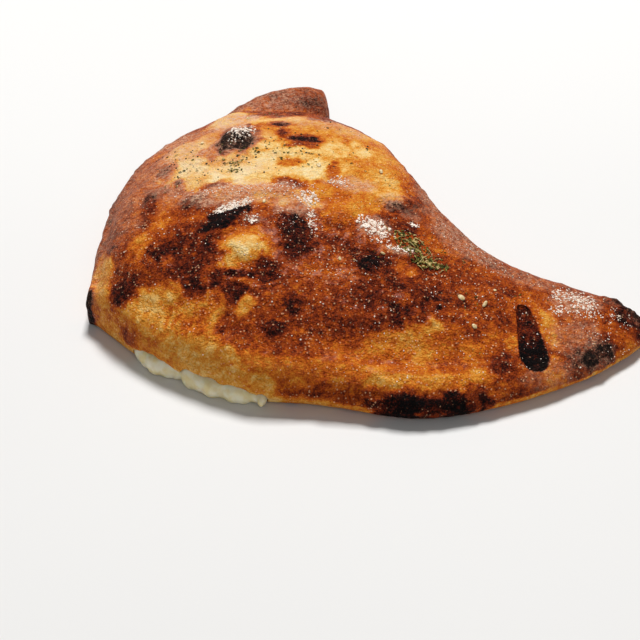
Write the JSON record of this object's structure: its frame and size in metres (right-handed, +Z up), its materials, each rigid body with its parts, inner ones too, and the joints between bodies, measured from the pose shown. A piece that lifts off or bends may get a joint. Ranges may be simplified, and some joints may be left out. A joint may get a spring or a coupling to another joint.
{
  "type": "calzone",
  "caption": "Baked calzone: folded dough with a long pointed tail, rolled end, sealed rim, burnt blisters, steam vent, grated cheese, herbs and cheese leaking at the rim.",
  "frame": {"origin": "middle of the calzone's box in plan, on the plane it rests on", "axes": "+X along the length towards the pointed tail, +Y across towards the rolled end, +Z up"},
  "size_m": [0.3035, 0.2731, 0.0596],
  "materials": {
    "crust": "baked dough, golden to dark brown with burnt blisters, lightly oiled",
    "melted_cheese": "melted cheese, smooth and slightly glossy"
  },
  "bodies": {
    "root": {"crust": "crust", "melted_cheese": "melted_cheese"}
  },
  "joints": []
}
